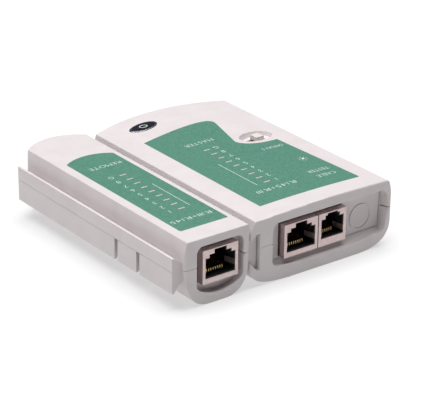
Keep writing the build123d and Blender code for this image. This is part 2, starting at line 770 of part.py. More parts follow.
def chip_legs(place, legs_per_side):
    """Legs of a chip: two rows, leg_pitch from leg to leg."""
    x, y = place
    return [(x + side * chip_row_half, y + (index - (legs_per_side - 1) / 2) * leg_pitch)
            for side in (-1, 1) for index in range(legs_per_side)]


leg_pitch = 2.54
chip_row_half = 3.81
leg_end_z = board_top_z + 0.3
leg_hole = 0.4
lamp_spread = 1.27
resistor_spread = 4.3
resistor_radius, resistor_half_length = 1.15, 3.15
chip_body_width, chip_body_height = 6.4, 3.3
chip_leg_z = board_z - 2.3
capacitor_spread = 1.0

lead_pads = [(master_x + 25.8, front_y + 55.5), (master_x + 25.8, front_y + 52.0)]
master_lamps_at = lamp_row(master_lamp_x, master_lamp_y)
remote_lamps_at = lamp_row(remote_lamp_x, remote_lamp_y)
master_resistors_at = lamp_row(master_x - 14.7, master_lamp_y)
remote_resistors_at = [(remote_x - 6.5, front_y + y) for y in (46.0, 57.0, 68.0)]
counter_place = (master_x + 6.3, front_y + 42.0)
timer_place = (master_x + 19.8, front_y + 44.0)
capacitor_place = (master_x + 17.8, front_y + 31.0)
switch_tag_half_y = 3.7
switch_tags_at = [(switch_x + (column - 1.5) * 2.5, knob_y + side * switch_tag_half_y)
                  for column in range(4) for side in (-1, 1)]

with BuildPart() as master_circuit_board:
    with BuildSketch(from_above(master_x, board_z)):
        with BuildLine():
            Polyline((-19.2, board_front), (22.4, board_front), (22.4, board_shoulder),
                     (29.4, board_shoulder), (29.4, board_rear), (-25.2, board_rear),
                     (-25.2, board_shoulder), (-19.2, board_shoulder), close=True)
        make_face()
        with Locations((switch_x - master_x, knob_y - front_y)):
            Rectangle(13.4, 6.0, mode=Mode.SUBTRACT)
    extrude(amount=board_thickness)
    round_holes(at(master_x, master_board_screws), board_screw_radius + 0.2, board_z, board_top_z)
    round_holes(pin_row(eight_pin_x, 8) + pin_row(six_pin_x, 6), 0.35, board_z, board_top_z)
    round_holes(two_legs(master_lamps_at, lamp_spread), leg_hole, board_z, board_top_z)
    round_holes(two_legs(master_resistors_at, resistor_spread), leg_hole, board_z, board_top_z)
    round_holes(two_legs([capacitor_place], capacitor_spread), leg_hole, board_z, board_top_z)
    round_holes(chip_legs(counter_place, 8) + chip_legs(timer_place, 4), leg_hole, board_z, board_top_z)
    round_holes(switch_tags_at, leg_hole, board_z, board_top_z)

with BuildPart() as remote_circuit_board:
    with BuildSketch(from_above(remote_x, board_z)):
        with Locations((0, board_front)):
            Rectangle(remote_board_width, remote_board_length, align=(Align.CENTER, Align.MIN))
        with Locations(remote_columns[0]):
            Circle(remote_column_radius + 0.4, mode=Mode.SUBTRACT)
    extrude(amount=board_thickness)
    round_holes(at(remote_x, remote_board_screws), board_screw_radius + 0.2, board_z, board_top_z)
    round_holes(pin_row(remote_jack_x, 8), 0.35, board_z, board_top_z)
    round_holes(two_legs(remote_lamps_at, lamp_spread), leg_hole, board_z, board_top_z)
    round_holes([(x, y + side * resistor_spread) for x, y in remote_resistors_at for side in (-1, 1)],
                leg_hole, board_z, board_top_z)


def lamps(places, lens_top_z):
    """Bar-shaped lamps: a flange on the board, a lens up to the label and two legs."""
    with BuildPart() as row:
        with BuildSketch(Plane.XY.offset(board_top_z)):
            with Locations(*places):
                Rectangle(lamp_flange_length, lamp_flange_width)
        extrude(amount=lamp_flange_height)
        with BuildSketch(Plane.XY.offset(board_top_z)):
            with Locations(*places):
                Rectangle(lamp_length, lamp_width)
        extrude(amount=lens_top_z - board_top_z)
        with BuildSketch(Plane.XY.offset(board_z - 1.2)):
            with Locations(*two_legs(places, lamp_spread)):
                Rectangle(0.5, 0.5)
        extrude(amount=board_thickness + 1.4)
    return row.part


def resistors(places, along):
    """Axial resistors under the board, lying along the given direction."""
    axis_z = board_z - 1.4
    across = Vector(*along).cross(Vector(0, 0, 1))
    with BuildPart() as row:
        for x, y in places:
            with BuildSketch(Plane(origin=(x, y, 0), x_dir=along, z_dir=across)):
                with BuildLine():
                    Polyline((-resistor_spread, leg_end_z), (-resistor_spread, axis_z),
                             (resistor_spread, axis_z), (resistor_spread, leg_end_z))
                trace(line_width=0.5)
            extrude(amount=0.25, both=True)
            with BuildSketch(Plane(origin=(x, y, axis_z), z_dir=along)):
                Circle(resistor_radius)
            extrude(amount=resistor_half_length, both=True)
    return row.part


def chip(place, legs_per_side):
    """Dual-in-line chip hanging under the board, notched at one end."""
    length = legs_per_side * leg_pitch - 1
    with BuildPart() as package:
        with BuildSketch(Plane.XY.offset(board_z - chip_body_height - 0.5)):
            with Locations(place):
                Rectangle(chip_body_width, length)
            with Locations((place[0], place[1] - length / 2)):
                Circle(0.9, mode=Mode.SUBTRACT)
        extrude(amount=chip_body_height)
        with BuildSketch(Plane.XY.offset(chip_leg_z)):
            with Locations(*chip_legs(place, legs_per_side)):
                Rectangle(1.6, 0.5)
        extrude(amount=0.3)
        with BuildSketch(Plane.XY.offset(chip_leg_z)):
            with Locations(*chip_legs(place, legs_per_side)):
                Rectangle(0.3, 0.5)
        extrude(amount=leg_end_z - chip_leg_z)
    return package.part


with BuildPart() as master_lamps:
    add(lamps(master_lamps_at, crown_z(master_lamp_x - master_x)))
with BuildPart() as remote_lamps:
    add(lamps(remote_lamps_at, top_z))
with BuildPart() as master_resistors:
    add(resistors(master_resistors_at, (1, 0, 0)))
with BuildPart() as remote_resistors:
    add(resistors(remote_resistors_at, (0, 1, 0)))
with BuildPart() as counter_chip:
    add(chip(counter_place, 8))
with BuildPart() as timer_chip:
    add(chip(timer_place, 4))

with BuildPart() as timing_capacitor:
    with BuildSketch(Plane.XY.offset(board_z - 11.5)):
        with Locations(capacitor_place):
            Circle(2.5)
    extrude(amount=11)
    fillet(timing_capacitor.edges().group_by(Axis.Z)[0], 0.5)
    with BuildSketch(Plane.XY.offset(board_z - 0.5)):
        with Locations(*two_legs([capacitor_place], capacitor_spread)):
            Circle(0.25)
    extrude(amount=leg_end_z - board_z + 0.5)


# ---- slide switch -------------------------------------------------------------------
switch_base_z, switch_roof_z = 20.55, 24.3

with BuildPart() as switch_housing:
    with BuildSketch(Plane.XY.offset(switch_base_z)):
        with Locations((switch_x, knob_y)):
            Rectangle(13.0, 5.6)
    extrude(amount=switch_roof_z - switch_base_z)
    # ears that lie on the board
    with BuildSketch(Plane.XY.offset(board_top_z)):
        with Locations((switch_x, knob_y)):
            Rectangle(14.6, 3.0)
    extrude(amount=sheet)
    with BuildSketch(Plane.XY.offset(switch_base_z + sheet)):
        with Locations((switch_x, knob_y)):
            Rectangle(11.0, 4.4)
    extrude(amount=switch_roof_z - switch_base_z - 2 * sheet, mode=Mode.SUBTRACT)
    with BuildSketch(Plane.XY.offset(switch_roof_z - sheet)):
        with Locations((switch_x, knob_y)):
            Rectangle(stem_length + knob_travel + 0.6, stem_width + 0.6)
    extrude(amount=sheet, mode=Mode.SUBTRACT)

with BuildPart() as switch_terminals:
    tag_z = switch_base_z - 0.15
    for column in range(4):
        for side in (-1, 1):
            with BuildSketch(Plane.YZ.offset(switch_x + (column - 1.5) * 2.5 - 0.25)):
                with BuildLine():
                    Polyline((knob_y + side * 1.2, tag_z), (knob_y + side * switch_tag_half_y, tag_z),
                             (knob_y + side * switch_tag_half_y, leg_end_z))
                trace(line_width=0.3)
            extrude(amount=0.5)

with BuildPart() as switch_knob:
    with BuildSketch(Plane.XY.offset(knob_base_z)):
        with Locations((knob_x, knob_y)):
            Rectangle(knob_side, knob_side)
    extrude(amount=knob_top_z - knob_base_z, taper=3)
    fillet(switch_knob.edges().group_by(Axis.Z)[-1], 0.3)
    with BuildSketch(Plane.XY.offset(slider_z)):
        with Locations((knob_x, knob_y)):
            Rectangle(stem_length, stem_width)
    extrude(amount=knob_base_z - slider_z)
    with BuildSketch(Plane.XY.offset(slider_z)):
        with Locations((knob_x, knob_y)):
            Rectangle(3.8, 3.6)
    extrude(amount=1.6)


# ---- battery ------------------------------------------------------------------------
terminal_faces = {"stud": battery_y - terminal_spacing / 2, "socket": battery_y + terminal_spacing / 2}
snap_x = battery_right + terminal_height + 0.1

with BuildPart() as battery_9v:
    with BuildSketch(Plane.YZ.offset(battery_left)):
        with Locations((battery_y, terminal_z)):
            RectangleRounded(battery_width, battery_height, 2.0)
    extrude(amount=battery_length)

with BuildPart() as battery_terminals:
    with BuildSketch(Plane.YZ.offset(battery_right)):
        with Locations((terminal_faces["stud"], terminal_z)):
            Circle(2.85)
        with Locations((terminal_faces["socket"], terminal_z)):
            Circle(4.1)
            Circle(3.1, mode=Mode.SUBTRACT)
    extrude(amount=terminal_height)

with BuildPart() as battery_snap:
    with BuildSketch(Plane.YZ.offset(snap_x)):
        with Locations((battery_y, terminal_z)):
            RectangleRounded(snap_length, snap_width, 2.0)
    extrude(amount=snap_thickness)

with BuildPart() as snap_contacts:
    with BuildSketch(Plane.YZ.offset(battery_right + 0.2)):
        with Locations((terminal_faces["stud"], terminal_z)):
            Circle(3.9)
            Circle(2.95, mode=Mode.SUBTRACT)
        with Locations((terminal_faces["socket"], terminal_z)):
            Circle(2.95)
    extrude(amount=snap_x - battery_right - 0.2)


def battery_lead(exit_z, pad):
    """Lead from the end of the battery snap, forward past the bay wall and up to its pad."""
    x = snap_x + snap_thickness / 2
    start_y = battery_y - snap_length / 2
    pad_x, pad_y = pad
    turn = 4.0
    with BuildPart() as lead:
        with BuildLine() as route:
            FilletPolyline((x, start_y, exit_z), (x, pad_y + 10, exit_z - 0.6),
                           (pad_x, pad_y, exit_z + 1.6), (pad_x, pad_y, board_z), radius=turn)
        with BuildSketch(Plane(origin=route.line @ 0, z_dir=route.line % 0)):
            Circle(lead_diameter / 2)
        sweep(path=route.line)
    return lead.part


with BuildPart() as battery_lead_red:
    add(battery_lead(terminal_z + 1.6, lead_pads[0]))
with BuildPart() as battery_lead_black:
    add(battery_lead(terminal_z - 1.6, lead_pads[1]))


# ---- screws -------------------------------------------------------------------------
def screws(places, seat_z, head_radius, head_height, shank_radius, end_z):
    """Cross-head screws driven upward, their heads below the seat."""
    with BuildPart() as group:
        with BuildSketch(Plane.XY.offset(seat_z - head_height)):
            with Locations(*places):
                Circle(head_radius)
        extrude(amount=head_height)
        fillet(group.edges().group_by(Axis.Z)[0], 0.4)
        with BuildSketch(Plane.XY.offset(seat_z)):
            with Locations(*places):
                Circle(shank_radius)
        extrude(amount=end_z - seat_z)
        with BuildSketch(Plane.XY.offset(seat_z - head_height)):
            with Locations(*places):
                Rectangle(1.2 * head_radius, 0.5)
                Rectangle(0.5, 1.2 * head_radius)
        extrude(amount=head_height / 2, mode=Mode.SUBTRACT)
    return group.part


with BuildPart() as master_case_screws:
    add(screws(at(master_x, master_columns), screw_seat_z, master_screw_head, 1.8,
               screw_radius, screw_end_z))
with BuildPart() as remote_case_screws:
    add(screws(at(remote_x, remote_columns), screw_seat_z, remote_screw_head, 1.5,
               screw_radius, screw_end_z))
with BuildPart() as master_board_fixings:
    add(screws(at(master_x, master_board_screws), board_z, board_screw_head, 1.5,
               board_screw_radius, board_screw_end_z))
with BuildPart() as remote_board_fixings:
    add(screws(at(remote_x, remote_board_screws), board_z, board_screw_head, 1.5,
               board_screw_radius, board_screw_end_z))


# ---- one file per piece -------------------------------------------------------------
pieces = {
    "master_top_shell": master_top_shell,
    "master_bottom_shell": master_bottom_shell,
    "battery_door": battery_door,
    "master_end_plate": master_end_plate,
    "master_label": master_label,
    "oval_badge": oval_badge,
    "master_circuit_board": master_circuit_board,
    "master_lamps": master_lamps,
    "master_resistors": master_resistors,
    "counter_chip": counter_chip,
    "timer_chip": timer_chip,
    "timing_capacitor": timing_capacitor,
    "eight_pin_jack_shield": eight_pin_jack_shield,
    "eight_pin_jack_housing": eight_pin_jack_housing,
    "eight_pin_jack_contacts": eight_pin_jack_contacts,
    "six_pin_jack_shield": six_pin_jack_shield,
    "six_pin_jack_housing": six_pin_jack_housing,
    "six_pin_jack_contacts": six_pin_jack_contacts,
    "switch_housing": switch_housing,
    "switch_terminals": switch_terminals,
    "switch_knob": switch_knob,
    "battery_9v": battery_9v,
    "battery_terminals": battery_terminals,
    "battery_snap": battery_snap,
    "snap_contacts": snap_contacts,
    "battery_lead_red": battery_lead_red,
    "battery_lead_black": battery_lead_black,
    "master_case_screws": master_case_screws,
    "master_board_screws": master_board_fixings,
    "remote_top_shell": remote_top_shell,
    "remote_bottom_shell": remote_bottom_shell,
    "remote_end_plate": remote_end_plate,
    "remote_label": remote_label,
    "remote_circuit_board": remote_circuit_board,
    "remote_lamps": remote_lamps,
    "remote_resistors": remote_resistors,
    "remote_jack_shield": remote_jack_shield,
    "remote_jack_housing": remote_jack_housing,
    "remote_jack_contacts": remote_jack_contacts,
    "remote_case_screws": remote_case_screws,
    "remote_board_screws": remote_board_fixings,
}
for name, piece in pieces.items():
    piece.part.label = name
    export_step(piece.part, f"parts/{name}.step")
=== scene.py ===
import json
from math import cos, pi, radians, sin

import bmesh
import bpy
from mathutils import Matrix, Quaternion, Vector


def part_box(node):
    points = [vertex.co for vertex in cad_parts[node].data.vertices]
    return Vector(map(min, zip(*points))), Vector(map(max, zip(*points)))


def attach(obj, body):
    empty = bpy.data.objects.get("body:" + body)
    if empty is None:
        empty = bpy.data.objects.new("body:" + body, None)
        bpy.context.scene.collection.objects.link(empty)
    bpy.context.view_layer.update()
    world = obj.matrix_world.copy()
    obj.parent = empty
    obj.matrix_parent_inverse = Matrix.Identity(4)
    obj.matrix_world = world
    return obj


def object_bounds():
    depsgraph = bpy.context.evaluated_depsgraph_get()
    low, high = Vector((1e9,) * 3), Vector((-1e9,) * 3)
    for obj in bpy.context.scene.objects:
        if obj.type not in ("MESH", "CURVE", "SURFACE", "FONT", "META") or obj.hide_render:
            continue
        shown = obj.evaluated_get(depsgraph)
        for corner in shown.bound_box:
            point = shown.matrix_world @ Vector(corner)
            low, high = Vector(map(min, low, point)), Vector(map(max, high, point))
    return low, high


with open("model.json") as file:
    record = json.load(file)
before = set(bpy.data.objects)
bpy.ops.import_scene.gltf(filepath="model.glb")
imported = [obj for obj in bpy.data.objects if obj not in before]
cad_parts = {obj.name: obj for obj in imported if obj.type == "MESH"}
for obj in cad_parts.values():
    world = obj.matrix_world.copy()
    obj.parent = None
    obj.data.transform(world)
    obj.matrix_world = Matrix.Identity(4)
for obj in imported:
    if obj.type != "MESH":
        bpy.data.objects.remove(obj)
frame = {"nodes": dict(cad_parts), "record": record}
cad_low, cad_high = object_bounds()

MM = 0.001


# ---- places on the object, from the frame ---------------------------------------------
def middle_x(node):
    low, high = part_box(node)
    return (low.x + high.x) / 2


master_x = middle_x("battery_door")
remote_x = middle_x("remote_bottom_shell")
front_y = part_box("master_top_shell")[0].y
crown_radius = 648 * MM        # the master's top is domed across its width
lamp_count = 9
lamp_flange = 2.2 * MM         # length of one lamp along the row


def master_label_z(x):
    """Height of the master's label at x."""
    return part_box("master_label")[1].z - (x - master_x) ** 2 / (2 * crown_radius)


def remote_label_z(x):
    """Height of the remote's label, which is level."""
    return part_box("remote_label")[1].z


def lamp_places(node):
    """Middle of each lamp of a row, the lamp by the ports first."""
    low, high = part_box(node)
    first = low.y + lamp_flange / 2
    pitch = (high.y - low.y - lamp_flange) / (lamp_count - 1)
    return [((low.x + high.x) / 2, first + index * pitch) for index in range(lamp_count)]


# ---- materials ------------------------------------------------------------------------
def material(name, colour, roughness, metallic=0.0, **more):
    """New material with its own shader; colours are linear."""
    made = bpy.data.materials.new(name)
    made.use_nodes = True
    shader = made.node_tree.nodes["Principled BSDF"]
    shader.inputs["Base Color"].default_value = (*colour, 1)
    shader.inputs["Roughness"].default_value = roughness
    shader.inputs["Metallic"].default_value = metallic
    for socket, value in more.items():
        shader.inputs[socket.replace("_", " ")].default_value = value
    return made


def shader_of(made):
    return made.node_tree.nodes["Principled BSDF"]


def add_node(made, kind, **sockets):
    """New node in a material, with values for its input sockets."""
    node = made.node_tree.nodes.new(kind)
    for socket, value in sockets.items():
        node.inputs[socket.replace("_", " ")].default_value = value
    return node


def noise(made, size, detail=3.0, stretch=(1, 1, 1)):
    """Noise whose blotches are about size metres across."""
    links = made.node_tree.links
    place = add_node(made, "ShaderNodeTexCoord")
    mapping = add_node(made, "ShaderNodeMapping", Scale=stretch)
    texture = add_node(made, "ShaderNodeTexNoise", Scale=1 / size, Detail=detail, Roughness=0.55)
    links.new(place.outputs["Object"], mapping.inputs["Vector"])
    links.new(mapping.outputs["Vector"], texture.inputs["Vector"])
    return texture.outputs["Fac"]


def blend_colours(made, factor, first, second, low=0.35, high=0.65):
    """Colour that goes from first to second as the factor goes from low to high."""
    ramp = add_node(made, "ShaderNodeValToRGB")
    ramp.color_ramp.elements[0].position = low
    ramp.color_ramp.elements[0].color = (*first, 1)
    ramp.color_ramp.elements[1].position = high
    ramp.color_ramp.elements[1].color = (*second, 1)
    made.node_tree.links.new(factor, ramp.inputs["Fac"])
    return ramp.outputs["Color"]


def colour_from(made, colour):
    made.node_tree.links.new(colour, shader_of(made).inputs["Base Color"])


def roughness_from(made, factor, low, high):
    """Roughness that wanders between low and high."""
    span = add_node(made, "ShaderNodeMapRange", To_Min=low, To_Max=high)
    made.node_tree.links.new(factor, span.inputs["Value"])
    made.node_tree.links.new(span.outputs["Result"], shader_of(made).inputs["Roughness"])


def bump_from(made, factor, height, strength=1.0, after=None):
    """Relief of the given height in metres; after is an earlier relief to build on."""
    links = made.node_tree.links
    bump = add_node(made, "ShaderNodeBump", Strength=strength, Distance=height)
    links.new(factor, bump.inputs["Height"])
    if after:
        links.new(after, bump.inputs["Normal"])
    links.new(bump.outputs["Normal"], shader_of(made).inputs["Normal"])
    return bump.outputs["Normal"]


def case_plastic(name, light, dark):
    """Warm off-white moulding with a fine spark-eroded texture and faint handling marks."""
    made = material(name, light, 0.42, Specular_IOR_Level=0.42)
    colour_from(made, blend_colours(made, noise(made, 9 * MM), dark, light))
    roughness_from(made, noise(made, 5 * MM), 0.40, 0.56)
    waves = bump_from(made, noise(made, 14 * MM, 1), 0.06 * MM, 0.5)
    bump_from(made, noise(made, 0.28 * MM), 0.015 * MM, 0.6, waves)
    return made


def label_print():
    """Green screen print: faintly mottled ink over a film with a fine grain."""
    made = material("label_green", (0.085, 0.226, 0.168), 0.44, Specular_IOR_Level=0.35)
    mottle = noise(made, 0.8 * MM)
    colour_from(made, blend_colours(made, mottle, (0.064, 0.205, 0.148), (0.106, 0.247, 0.188)))
    roughness_from(made, noise(made, 4 * MM), 0.36, 0.52)
    bump_from(made, noise(made, 0.2 * MM), 0.01 * MM, 0.5)
    return made


def white_ink():
    """White ink, a little thin where the screen left it."""
    made = material("white_ink", (0.74, 0.79, 0.77), 0.5)
    thin = noise(made, 0.35 * MM)
    colour_from(made, blend_colours(made, thin, (0.56, 0.67, 0.63), (0.74, 0.79, 0.77)))
    bump_from(made, noise(made, 0.15 * MM), 0.008 * MM, 0.5)
    return made


def sheet_metal(name, colour, rough_low, rough_high, grain_size, stretch=(1, 1, 1), metallic=1.0):
    """Plated sheet with a drawn grain; dull plating is less metallic."""
    made = material(name, colour, rough_low, metallic)
    tarnish = 0.86
    darker = [tarnish * channel for channel in colour]
    colour_from(made, blend_colours(made, noise(made, 2.5 * MM), darker, colour))
    roughness_from(made, noise(made, grain_size, 4, stretch), rough_low, rough_high)
    bump_from(made, noise(made, grain_size, 4, stretch), 0.006 * MM, 0.35)
    return made


def moulded(name, colour, lighter, roughness, grain_size=0.3 * MM):
    """Moulded plastic or rubber with a fine grain and a slight change of tone."""
    made = material(name, colour, roughness)
    colour_from(made, blend_colours(made, noise(made, 3 * MM), colour, lighter))
    roughness_from(made, noise(made, 2 * MM), roughness - 0.06, roughness + 0.08)
    bump_from(made, noise(made, grain_size), 0.012 * MM, 0.5)
    return made


def circuit_board():
    """Solder mask with tracks showing through as slightly raised, paler lines."""
    made = material("solder_mask", (0.02, 0.16, 0.06), 0.3, Coat_Weight=0.4)
    links = made.node_tree.links
    place = add_node(made, "ShaderNodeTexCoord")
    tracks = add_node(made, "ShaderNodeTexBrick", Scale=1 / (12 * MM), Mortar_Size=0.03)
    links.new(place.outputs["Object"], tracks.inputs["Vector"])
    relief = tracks.outputs["Fac"]
    colour_from(made, blend_colours(made, relief, (0.016, 0.13, 0.05), (0.05, 0.27, 0.11)))
    bump_from(made, relief, 0.03 * MM)
    return made


def lamp_lens():
    """Milky lens that lets a little light in."""
    made = material("lamp_lens", (0.46, 0.47, 0.46), 0.35,
                    Subsurface_Weight=0.15, Subsurface_Scale=1 * MM)
    haze = noise(made, 1.2 * MM)
    colour_from(made, blend_colours(made, haze, (0.40, 0.41, 0.40), (0.50, 0.51, 0.50)))
    bump_from(made, noise(made, 0.3 * MM), 0.01 * MM, 0.4)
    return made


def battery_case():
    """Printed jacket: black from the battery's base to 30 mm along it, then copper."""
    made = material("battery_jacket", (0.02, 0.02, 0.02), 0.32, 0.4)
    links = made.node_tree.links
    black_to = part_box("battery_9v")[0].x + 30 * MM
    edge = 0.2 * MM
    place = add_node(made, "ShaderNodeTexCoord")
    split = add_node(made, "ShaderNodeSeparateXYZ")
    links.new(place.outputs["Object"], split.inputs["Vector"])
    band = add_node(made, "ShaderNodeMapRange", From_Min=black_to, From_Max=black_to + edge)
    links.new(split.outputs["X"], band.inputs["Value"])
    copper = band.outputs["Result"]
    colour_from(made, blend_colours(made, copper, (0.02, 0.02, 0.022), (0.55, 0.24, 0.09)))
    roughness_from(made, noise(made, 1.5 * MM), 0.26, 0.42)
    bump_from(made, noise(made, 3 * MM), 0.02 * MM, 0.4)
    return made


shell_light, shell_dark = (0.655, 0.607, 0.618), (0.626, 0.577, 0.584)
finishes = {
    "case_plastic": case_plastic("case_plastic", shell_light, shell_dark),
    "label_print": label_print(),
    "badge": sheet_metal("badge_rim", (0.40, 0.40, 0.44), 0.26, 0.40, 0.2 * MM),
    "circuit_board": circuit_board(),
    "lamp_lens": lamp_lens(),
    "resistor_body": moulded("resistor_lacquer", (0.50, 0.34, 0.18), (0.60, 0.44, 0.26), 0.34),
    "black_plastic": moulded("black_plastic", (0.011, 0.010, 0.011), (0.020, 0.018, 0.020), 0.36),
    "capacitor_sleeve": moulded("capacitor_sleeve", (0.015, 0.03, 0.12), (0.03, 0.05, 0.17), 0.3),
    "jack_metal": sheet_metal("nickel_plate", (0.575, 0.465, 0.455), 0.22, 0.38, 0.12 * MM,
                              (1, 1, 7), 0.85),
    "gold_contacts": sheet_metal("gold_flash", (0.86, 0.62, 0.28), 0.3, 0.42, 0.1 * MM, (6, 1, 1)),
    "knob_plastic": case_plastic("knob_plastic", (0.67, 0.62, 0.60), (0.63, 0.58, 0.56)),
    "battery_case": battery_case(),
    "screw_steel": sheet_metal("zinc_plate", (0.60, 0.60, 0.58), 0.28, 0.44, 0.1 * MM),
    "snap_vinyl": moulded("snap_vinyl", (0.018, 0.018, 0.018), (0.03, 0.03, 0.03), 0.5),
    "lead_red": moulded("lead_red", (0.42, 0.012, 0.012), (0.5, 0.03, 0.025), 0.42),
    "lead_black": moulded("lead_black", (0.015, 0.015, 0.015), (0.03, 0.03, 0.03), 0.42),
}


def finish_node(node, made):
    """Gives a CAD node a material in every slot it has."""
    shown = frame["nodes"][node]
    if not shown.material_slots:
        shown.data.materials.append(made)
    for place in shown.material_slots:
        place.material = made


for part in frame["record"]["subparts"]:
    finish_node(part["node"], finishes[part["material_slot"]])


# ---- printed marks --------------------------------------------------------------------
ink_depth = 0.02 * MM
letter_gap = 0.22              # between letters, in letter heights
thinner = -0.018               # how far the strokes' edges are drawn in
plus_size, plus_rise = 0.6, 0.2
ink = white_ink()


def letter(character):
    """Solid letter, one unit tall and standing on the origin; a plus is smaller."""
    curve = bpy.data.curves.new("letter", "FONT")
    curve.body = character
    curve.resolution_u = 5
    curve.extrude = 0.5
    curve.offset = thinner
    shape = bpy.data.objects.new("letter", curve)
    bpy.context.scene.collection.objects.link(shape)
    bpy.context.view_layer.update()
    mesh = bpy.data.meshes.new_from_object(shape)
    bpy.data.objects.remove(shape)
    made = bmesh.new()
    made.from_mesh(mesh)
    bpy.data.meshes.remove(mesh)
    bmesh.ops.remove_doubles(made, verts=made.verts, dist=1e-4)
    left = min(v.co.x for v in made.verts)
    low = min(v.co.y for v in made.verts)
    tall = max(v.co.y for v in made.verts) - low
    size, rise = (plus_size, plus_rise) if character == "+" else (1.0, 0.0)
    for v in made.verts:
        v.co.x = (v.co.x - left) * size / tall
        v.co.y = (v.co.y - low) * size / tall + rise
    return made


def glyphs(text, height, width=None):
    """A word centred on the origin, spread to a width if one is given."""
    made = bmesh.new()
    reach = 0.0
    for character in text:
        shape = letter(character)
        wide = max(v.co.x for v in shape.verts)
        bmesh.ops.translate(shape, vec=(reach, 0, 0), verts=shape.verts)
        mesh = bpy.data.meshes.new("letter")
        shape.to_mesh(mesh)
        shape.free()
        made.from_mesh(mesh)
        bpy.data.meshes.remove(mesh)
        reach += wide + letter_gap
    reach -= letter_gap
    stretch = width / reach if width else height
    for v in made.verts:
        v.co = Vector(((v.co.x - reach / 2) * stretch, (v.co.y - 0.5) * height, v.co.z * ink_depth))
    return made


def bar(start, end, width):
    """Flat printed line between two points."""
    made = bmesh.new()
    along = (Vector(end) - Vector(start)).normalized()
    side = Vector((-along.y, along.x)) * width / 2
    corners = [Vector(start) - side, Vector(start) + side, Vector(end) + side, Vector(end) - side]
    low = [made.verts.new((*corner, -ink_depth / 2)) for corner in corners]
    high = [made.verts.new((*corner, ink_depth / 2)) for corner in corners]
    made.faces.new(reversed(low))
    made.faces.new(high)
    for index in range(4):
        after = (index + 1) % 4
        made.faces.new((low[index], low[after], high[after], high[index]))
    bmesh.ops.recalc_face_normals(made, faces=made.faces)
    return made


def ring(radius_x, radius_y, width, steps=32):
    """Flat printed ring or oval."""
    made = bmesh.new()
    rows = []
    for index in range(steps):
        turn = 2 * pi * index / steps
        inner = (cos(turn) * (radius_x - width / 2), sin(turn) * (radius_y - width / 2))
        outer = (cos(turn) * (radius_x + width / 2), sin(turn) * (radius_y + width / 2))
        rows.append([made.verts.new((*point, side * ink_depth / 2))
                     for point, side in ((inner, -1), (outer, -1), (outer, 1), (inner, 1))])
    for index in range(steps):
        here, after = rows[index], rows[(index + 1) % steps]
        for side in range(4):
            beside = (side + 1) % 4
            made.faces.new((here[side], here[beside], after[beside], after[side]))
    bmesh.ops.recalc_face_normals(made, faces=made.faces)
    return made


def place_print(target, source, centre, surface, turned=True):
    """Adds a mark to a print: turned to read from the back, then laid on the label."""
    turn = Matrix.Rotation(pi if turned else 0, 4, "Z")
    bmesh.ops.transform(source, matrix=Matrix.Translation((*centre, 0)) @ turn, verts=source.verts)
    for v in source.verts:
        v.co.z += surface(v.co.x) + ink_depth / 2
    mesh = bpy.data.meshes.new("mark")
    source.to_mesh(mesh)
    source.free()
    target.from_mesh(mesh)
    bpy.data.meshes.remove(mesh)


def finish_piece(name, source, made, body):
    """Turns a bmesh into a piece of the object that rides on a body."""
    mesh = bpy.data.meshes.new(name)
    source.to_mesh(mesh)
    source.free()
    mesh.materials.append(made)
    piece = bpy.data.objects.new(name, mesh)
    bpy.context.scene.collection.objects.link(piece)
    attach(piece, body)
    return piece


digit_height = 2.25 * MM
word_height = 2.2 * MM
switch_word_height = 1.7 * MM
line_width = 0.22 * MM
ray_width = 0.18 * MM


def from_ports(unit_x, x, y):
    """A place given in millimetres from a unit's middle and its port face."""
    return unit_x + x * MM, front_y + y * MM


def lamp_numbers(target, node, offset, surface):
    """1 to 8 and G beside a row of lamps."""
    for mark, (x, y) in zip("12345678G", lamp_places(node)):
        place_print(target, glyphs(mark, digit_height), (x + offset, y), surface)


def sun(target, centre, surface):
    """Lamp symbol: a small dot with eight rays."""
    place_print(target, ring(0.32 * MM, 0.32 * MM, 0.56 * MM), centre, surface)
    rays = 8
    for index in range(rays):
        turn = 2 * pi * index / rays
        along = Vector((cos(turn), sin(turn)))
        place_print(target, bar(along * 1.1 * MM, along * 2.0 * MM, ray_width), centre, surface)


def upright(target, half_length, centre, surface):
    """Thin line beside a row of lamps."""
    line = bar((0, -half_length), (0, half_length), line_width)
    place_print(target, line, centre, surface)


def print_words(target, unit_x, surface, words):
    """Words of the usual height, each with its x, y and width in millimetres."""
    for text, x, y, width in words:
        word = glyphs(text, word_height, width * MM)
        place_print(target, word, from_ports(unit_x, x, y), surface)


master_print = bmesh.new()
lamp_numbers(master_print, "master_lamps", 4.4 * MM, master_label_z)
upright(master_print, 12.25 * MM, from_ports(master_x, -12.1, 36.9), master_label_z)
print_words(master_print, master_x, master_label_z, (
    ("RJ45+RJ11", -7.3, 19.1, 18.2), ("CABLE", 16.05, 17.8, 8.6),
    ("TESTER", 16.05, 22.8, 10.0), ("MASTER", -5.4, 70.6, 13.4)))
for text, x in (("OFF", 19.0), ("ON", 15.0), ("S", 11.4)):
    word = glyphs(text, switch_word_height)
    place_print(master_print, word, from_ports(master_x, x, 50.8), master_label_z)
sun(master_print, from_ports(master_x, 18.4, 34.8), master_label_z)
finish_piece("master_printed_marks", master_print, ink, "master")

remote_print = bmesh.new()
lamp_numbers(remote_print, "remote_lamps", -5.3 * MM, remote_label_z)
upright(remote_print, 12.0 * MM, from_ports(remote_x, 6.5, 38.0), remote_label_z)
print_words(remote_print, remote_x, remote_label_z, (
    ("RJ11+RJ45", 0.4, 17.0, 18.0), ("REMOTE", 1.75, 74.5, 14.5)))
finish_piece("remote_printed_marks", remote_print, ink, "remote")


# ---- badge window ---------------------------------------------------------------------
badge_low, badge_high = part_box("oval_badge")
badge_middle = (badge_low + badge_high) / 2
badge_above_label = 0.34 * MM
badge_turn = 0.1916            # radians, the oval's long side from the x axis
badge_rise = 0.06 * MM         # dome of the window
window_depth = 0.3 * MM        # sunk into the rim


